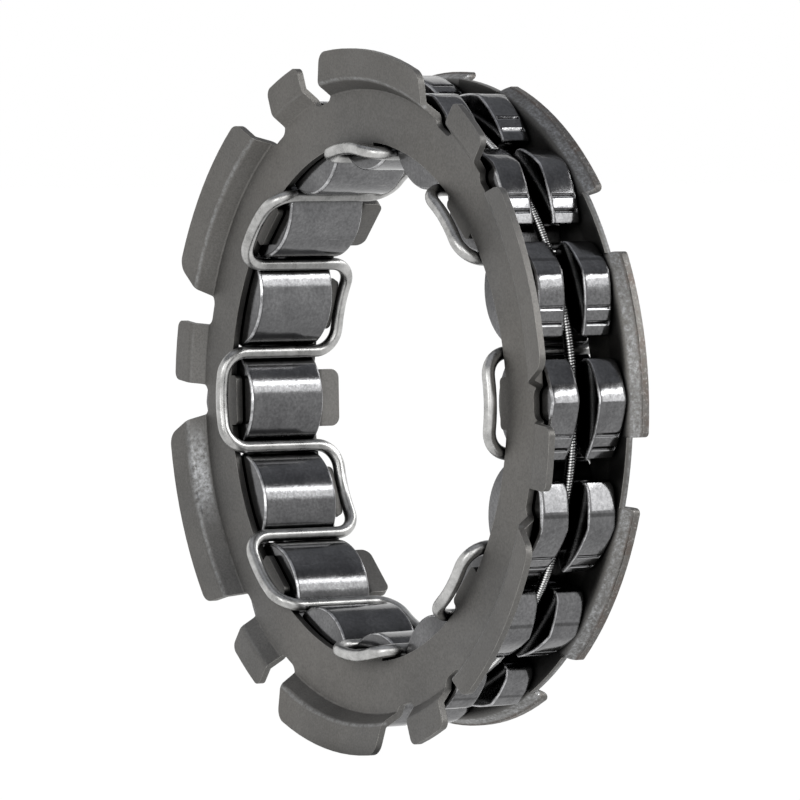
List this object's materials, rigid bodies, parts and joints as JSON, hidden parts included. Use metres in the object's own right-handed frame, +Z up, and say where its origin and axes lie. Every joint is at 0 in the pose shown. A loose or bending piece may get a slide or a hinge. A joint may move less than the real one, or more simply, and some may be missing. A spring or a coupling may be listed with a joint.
{
  "type": "sprag clutch",
  "caption": "Caged sprag clutch insert: two pressed side plates, a ring of rocking cam sprags, a zigzag retaining wire and a garter spring, for two plain races.",
  "frame": {"origin": "clutch axis at the middle of the sprag width, half way between the two side plates", "axes": "+Y along the clutch axis towards the rear plate, so the joggled front plate faces -Y; +Z up"},
  "size_m": [0.0664, 0.014, 0.0664],
  "materials": {
    "plate_steel": "dark matte phosphated sheet",
    "sprag_steel": "polished bearing steel",
    "wire_steel": "bright satin wire",
    "spring_steel": "bright fine coil"
  },
  "bodies": {
    "cage": {"front_side_plate": "plate_steel", "rear_side_plate": "plate_steel", "retaining_wire": "wire_steel", "garter_spring": "spring_steel"},
    "sprag_01": {"sprag_01": "sprag_steel"},
    "sprag_02": {"sprag_02": "sprag_steel"},
    "sprag_03": {"sprag_03": "sprag_steel"},
    "sprag_04": {"sprag_04": "sprag_steel"},
    "sprag_05": {"sprag_05": "sprag_steel"},
    "sprag_06": {"sprag_06": "sprag_steel"},
    "sprag_07": {"sprag_07": "sprag_steel"},
    "sprag_08": {"sprag_08": "sprag_steel"},
    "sprag_09": {"sprag_09": "sprag_steel"},
    "sprag_10": {"sprag_10": "sprag_steel"},
    "sprag_11": {"sprag_11": "sprag_steel"},
    "sprag_12": {"sprag_12": "sprag_steel"},
    "sprag_13": {"sprag_13": "sprag_steel"},
    "sprag_14": {"sprag_14": "sprag_steel"},
    "sprag_15": {"sprag_15": "sprag_steel"},
    "sprag_16": {"sprag_16": "sprag_steel"}
  },
  "joints": [
    {"name": "sprag_01_rock", "type": "hinge", "parent": "cage", "child": "sprag_01", "pos_m": [0.02722, 0, 0.0009], "axis": [0, 1, 0], "range_deg": [-4, 4], "stiffness_Nm_per_rad": 0.02},
    {"name": "sprag_02_rock", "type": "hinge", "parent": "cage", "child": "sprag_02", "pos_m": [0.02481, 0, 0.01125], "axis": [0, 1, 0], "range_deg": [-4, 4], "stiffness_Nm_per_rad": 0.02},
    {"name": "sprag_03_rock", "type": "hinge", "parent": "cage", "child": "sprag_03", "pos_m": [0.01861, 0, 0.01989], "axis": [0, 1, 0], "range_deg": [-4, 4], "stiffness_Nm_per_rad": 0.02},
    {"name": "sprag_04_rock", "type": "hinge", "parent": "cage", "child": "sprag_04", "pos_m": [0.00958, 0, 0.0255], "axis": [0, 1, 0], "range_deg": [-4, 4], "stiffness_Nm_per_rad": 0.02},
    {"name": "sprag_05_rock", "type": "hinge", "parent": "cage", "child": "sprag_05", "pos_m": [-0.0009, 0, 0.02722], "axis": [0, 1, 0], "range_deg": [-4, 4], "stiffness_Nm_per_rad": 0.02},
    {"name": "sprag_06_rock", "type": "hinge", "parent": "cage", "child": "sprag_06", "pos_m": [-0.01125, 0, 0.02481], "axis": [0, 1, 0], "range_deg": [-4, 4], "stiffness_Nm_per_rad": 0.02},
    {"name": "sprag_07_rock", "type": "hinge", "parent": "cage", "child": "sprag_07", "pos_m": [-0.01989, 0, 0.01861], "axis": [0, 1, 0], "range_deg": [-4, 4], "stiffness_Nm_per_rad": 0.02},
    {"name": "sprag_08_rock", "type": "hinge", "parent": "cage", "child": "sprag_08", "pos_m": [-0.0255, 0, 0.00958], "axis": [0, 1, 0], "range_deg": [-4, 4], "stiffness_Nm_per_rad": 0.02},
    {"name": "sprag_09_rock", "type": "hinge", "parent": "cage", "child": "sprag_09", "pos_m": [-0.02722, 0, -0.0009], "axis": [0, 1, 0], "range_deg": [-4, 4], "stiffness_Nm_per_rad": 0.02},
    {"name": "sprag_10_rock", "type": "hinge", "parent": "cage", "child": "sprag_10", "pos_m": [-0.02481, 0, -0.01125], "axis": [0, 1, 0], "range_deg": [-4, 4], "stiffness_Nm_per_rad": 0.02},
    {"name": "sprag_11_rock", "type": "hinge", "parent": "cage", "child": "sprag_11", "pos_m": [-0.01861, 0, -0.01989], "axis": [0, 1, 0], "range_deg": [-4, 4], "stiffness_Nm_per_rad": 0.02},
    {"name": "sprag_12_rock", "type": "hinge", "parent": "cage", "child": "sprag_12", "pos_m": [-0.00958, 0, -0.0255], "axis": [0, 1, 0], "range_deg": [-4, 4], "stiffness_Nm_per_rad": 0.02},
    {"name": "sprag_13_rock", "type": "hinge", "parent": "cage", "child": "sprag_13", "pos_m": [0.0009, 0, -0.02722], "axis": [0, 1, 0], "range_deg": [-4, 4], "stiffness_Nm_per_rad": 0.02},
    {"name": "sprag_14_rock", "type": "hinge", "parent": "cage", "child": "sprag_14", "pos_m": [0.01125, 0, -0.02481], "axis": [0, 1, 0], "range_deg": [-4, 4], "stiffness_Nm_per_rad": 0.02},
    {"name": "sprag_15_rock", "type": "hinge", "parent": "cage", "child": "sprag_15", "pos_m": [0.01989, 0, -0.01861], "axis": [0, 1, 0], "range_deg": [-4, 4], "stiffness_Nm_per_rad": 0.02},
    {"name": "sprag_16_rock", "type": "hinge", "parent": "cage", "child": "sprag_16", "pos_m": [0.0255, 0, -0.00958], "axis": [0, 1, 0], "range_deg": [-4, 4], "stiffness_Nm_per_rad": 0.02}
  ]
}
